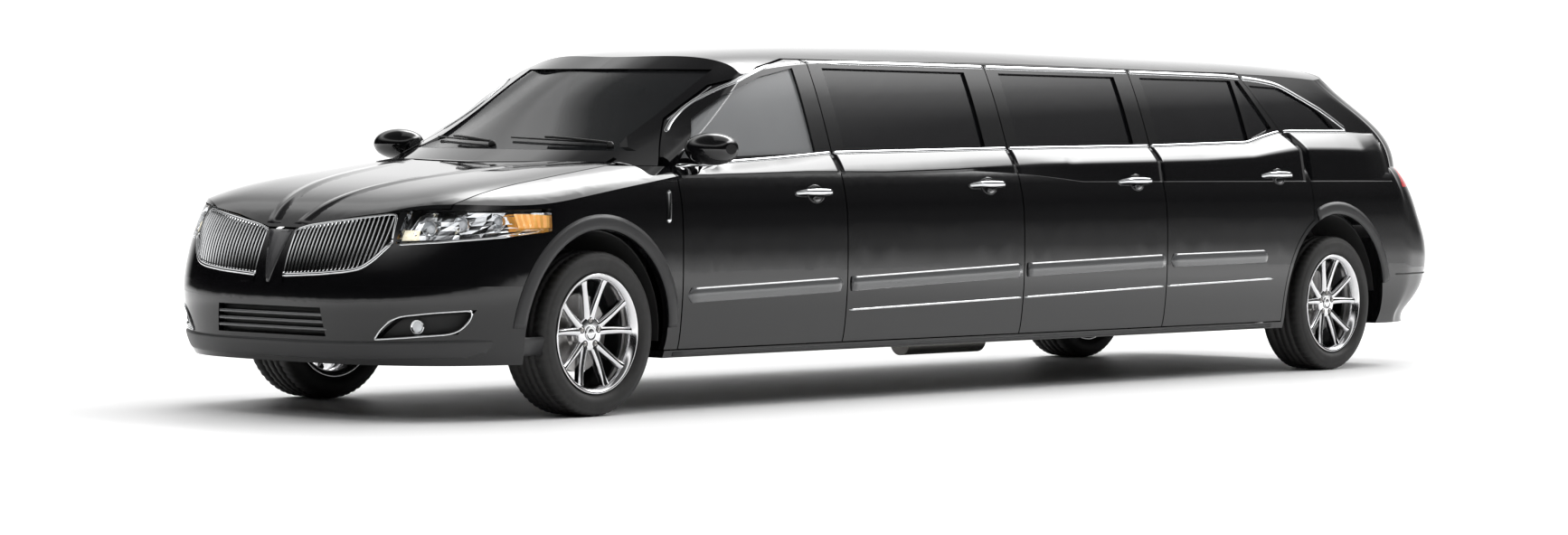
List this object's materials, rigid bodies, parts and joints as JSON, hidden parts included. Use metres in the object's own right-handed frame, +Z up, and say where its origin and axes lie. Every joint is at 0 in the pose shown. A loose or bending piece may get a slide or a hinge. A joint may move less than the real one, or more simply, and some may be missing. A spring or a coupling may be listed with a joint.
{
  "type": "stretch limousine",
  "caption": "Stretch limousine on a lengthened crossover body with four front-hinged doors a side, bonnet, tailgate, steered front wheels.",
  "frame": {"origin": "centre of the box on the ground under the wheels", "axes": "+X forward along the car, +Y to its left, +Z up"},
  "size_m": [8.4133, 2.2294, 1.7131],
  "materials": {
    "paint": "gloss black clear-coated paint",
    "lamp_lens": "clear moulded lamp cover",
    "red_lens": "red moulded lamp cover",
    "bright_bars": "bright plated bars",
    "clear_glass": "lightly tinted safety glass",
    "tinted_glass": "dark tinted safety glass",
    "underbody": "satin black underbody paint",
    "cabin_plastic": "grained dark trim",
    "leather": "grained black leather",
    "cast_metal": "rough cast metal",
    "bare_steel": "dull bare steel",
    "liner_plastic": "rough black liner",
    "tyre": "black road rubber",
    "wheel_alloy": "polished alloy"
  },
  "bodies": {
    "car_body": {"body_shell": "paint", "front_bumper": "paint", "front_fenders": "paint", "rear_bumper": "paint", "headlamps": "lamp_lens", "tail_lamps": "red_lens", "grille": "bright_bars", "windscreen": "clear_glass", "quarter_glass": "tinted_glass", "floor_pan": "underbody", "dashboard": "cabin_plastic", "steering_column": "underbody", "front_seats": "leather", "passenger_benches": "leather", "engine": "cast_metal", "propshaft": "underbody", "exhaust": "bare_steel", "front_axle_frame": "underbody", "front_struts": "underbody", "rear_axle_frame": "underbody", "wheel_liners": "liner_plastic"},
    "bonnet": {"bonnet": "paint"},
    "tailgate": {"tailgate": "paint", "tailgate_glass": "tinted_glass"},
    "steering_wheel": {"steering_wheel": "leather"},
    "door_1_left": {"door_1_left": "paint", "door_1_left_glass": "clear_glass"},
    "door_1_right": {"door_1_right": "paint", "door_1_right_glass": "clear_glass"},
    "door_2_left": {"door_2_left": "paint", "door_2_left_glass": "tinted_glass"},
    "door_2_right": {"door_2_right": "paint", "door_2_right_glass": "tinted_glass"},
    "door_3_left": {"door_3_left": "paint", "door_3_left_glass": "tinted_glass"},
    "door_3_right": {"door_3_right": "paint", "door_3_right_glass": "tinted_glass"},
    "door_4_left": {"door_4_left": "paint", "door_4_left_glass": "tinted_glass"},
    "door_4_right": {"door_4_right": "paint", "door_4_right_glass": "tinted_glass"},
    "front_left_knuckle": {"front_left_knuckle": "cast_metal"},
    "front_left_wheel": {"front_left_tyre": "tyre", "front_left_rim": "wheel_alloy"},
    "rear_left_wheel": {"rear_left_tyre": "tyre", "rear_left_rim": "wheel_alloy"},
    "front_right_knuckle": {"front_right_knuckle": "cast_metal"},
    "front_right_wheel": {"front_right_tyre": "tyre", "front_right_rim": "wheel_alloy"},
    "rear_right_wheel": {"rear_right_tyre": "tyre", "rear_right_rim": "wheel_alloy"}
  },
  "joints": [
    {"name": "door_1_left_hinge", "type": "hinge", "parent": "car_body", "child": "door_1_left", "pos_m": [2.44116, 0.943, 0.65484], "axis": [0, 0, -1], "range_deg": [0, 65]},
    {"name": "door_1_right_hinge", "type": "hinge", "parent": "car_body", "child": "door_1_right", "pos_m": [2.44116, -0.943, 0.65484], "axis": [0, 0, 1], "range_deg": [0, 65]},
    {"name": "door_2_left_hinge", "type": "hinge", "parent": "car_body", "child": "door_2_left", "pos_m": [1.251, 0.943, 0.65484], "axis": [0, 0, -1], "range_deg": [0, 65]},
    {"name": "door_2_right_hinge", "type": "hinge", "parent": "car_body", "child": "door_2_right", "pos_m": [1.251, -0.943, 0.65484], "axis": [0, 0, 1], "range_deg": [0, 65]},
    {"name": "door_3_left_hinge", "type": "hinge", "parent": "car_body", "child": "door_3_left", "pos_m": [-0.15608, 0.943, 0.65484], "axis": [0, 0, -1], "range_deg": [0, 65]},
    {"name": "door_3_right_hinge", "type": "hinge", "parent": "car_body", "child": "door_3_right", "pos_m": [-0.15608, -0.943, 0.65484], "axis": [0, 0, 1], "range_deg": [0, 65]},
    {"name": "door_4_left_hinge", "type": "hinge", "parent": "car_body", "child": "door_4_left", "pos_m": [-1.40825, 0.943, 0.65484], "axis": [0, 0, -1], "range_deg": [0, 65]},
    {"name": "door_4_right_hinge", "type": "hinge", "parent": "car_body", "child": "door_4_right", "pos_m": [-1.40825, -0.943, 0.65484], "axis": [0, 0, 1], "range_deg": [0, 65]},
    {"name": "bonnet_hinge", "type": "hinge", "parent": "car_body", "child": "bonnet", "pos_m": [2.70046, 0, 1.09996], "axis": [0, -1, 0], "range_deg": [0, 50]},
    {"name": "tailgate_hinge", "type": "hinge", "parent": "car_body", "child": "tailgate", "pos_m": [-3.20019, 0, 1.65978], "axis": [0, 1, 0], "range_deg": [0, 75]},
    {"name": "front_left_steer", "type": "hinge", "parent": "car_body", "child": "front_left_knuckle", "pos_m": [3.085, 0.76425, 0.369], "axis": [0, 0, 1], "range_deg": [-33, 33]},
    {"name": "front_left_wheel_roll", "type": "hinge", "parent": "front_left_knuckle", "child": "front_left_wheel", "pos_m": [3.085, 0.828, 0.369], "axis": [0, 1, 0], "continuous": true},
    {"name": "rear_left_wheel_roll", "type": "hinge", "parent": "car_body", "child": "rear_left_wheel", "pos_m": [-2.958, 0.828, 0.369], "axis": [0, 1, 0], "continuous": true},
    {"name": "front_right_steer", "type": "hinge", "parent": "car_body", "child": "front_right_knuckle", "pos_m": [3.085, -0.76425, 0.369], "axis": [0, 0, 1], "range_deg": [-33, 33]},
    {"name": "front_right_wheel_roll", "type": "hinge", "parent": "front_right_knuckle", "child": "front_right_wheel", "pos_m": [3.085, -0.828, 0.369], "axis": [0, 1, 0], "continuous": true},
    {"name": "rear_right_wheel_roll", "type": "hinge", "parent": "car_body", "child": "rear_right_wheel", "pos_m": [-2.958, -0.828, 0.369], "axis": [0, 1, 0], "continuous": true},
    {"name": "steering_wheel_turn", "type": "hinge", "parent": "car_body", "child": "steering_wheel", "pos_m": [1.9366, 0.39565, 0.9844], "axis": [-0.9135, 0, 0.4067], "range_deg": [-495, 495]}
  ],
  "couplings": [
    {"joint": "front_right_steer", "follows": "front_left_steer", "ratio": 1},
    {"joint": "steering_wheel_turn", "follows": "front_left_steer", "ratio": 15}
  ]
}
